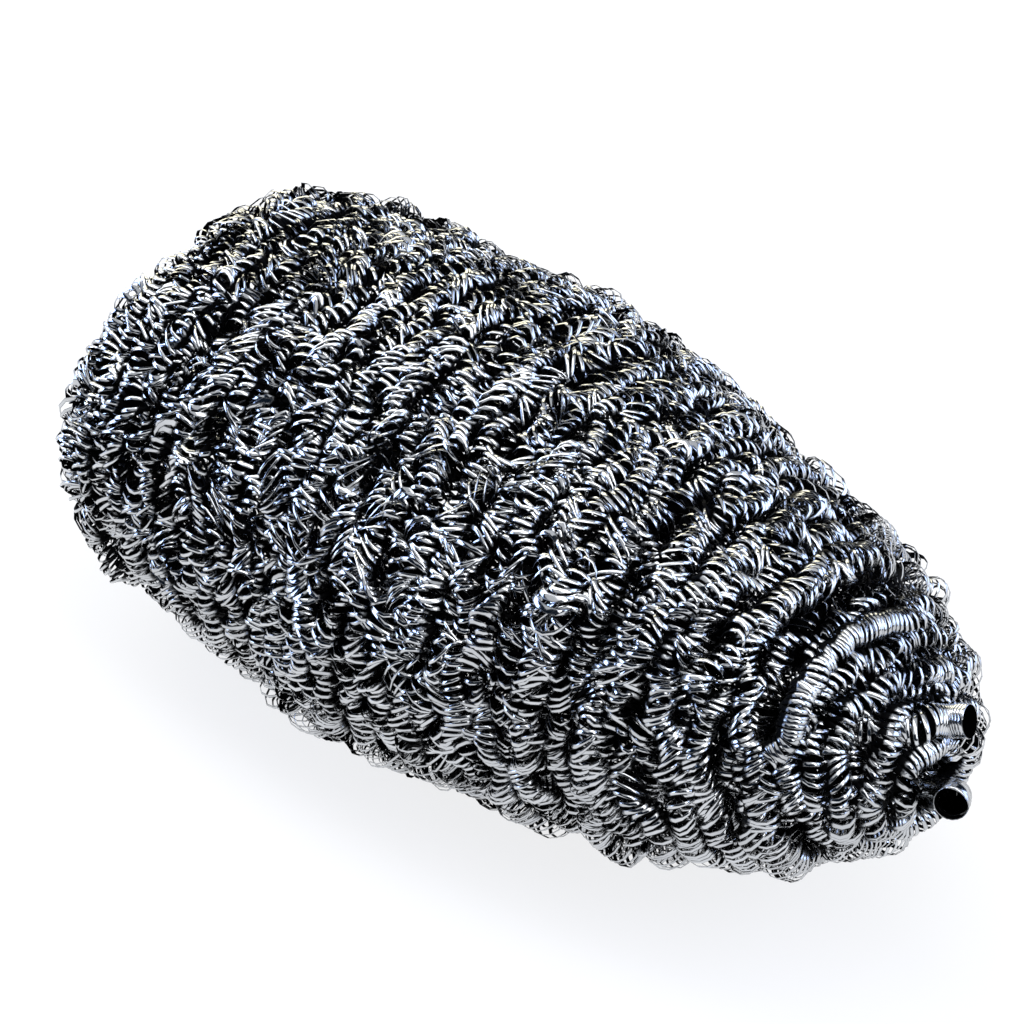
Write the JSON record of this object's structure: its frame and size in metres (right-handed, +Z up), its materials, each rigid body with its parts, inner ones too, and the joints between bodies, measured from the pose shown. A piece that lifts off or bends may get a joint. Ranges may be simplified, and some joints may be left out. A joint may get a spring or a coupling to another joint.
{
  "type": "stainless steel scourer ball",
  "caption": "Egg-shaped scouring pad wound from one long coil of flat stainless ribbon, gathered at one tip where the open strand ends come out.",
  "frame": {"origin": "under the middle of the pad, on the surface that it rests on", "axes": "+X along the pad to its gathered tip, +Z up"},
  "size_m": [0.1028, 0.0533, 0.0439],
  "materials": {
    "stainless_ribbon": "bright cold-rolled ribbon"
  },
  "bodies": {
    "root": {"wound_strand": "stainless_ribbon"}
  },
  "joints": []
}
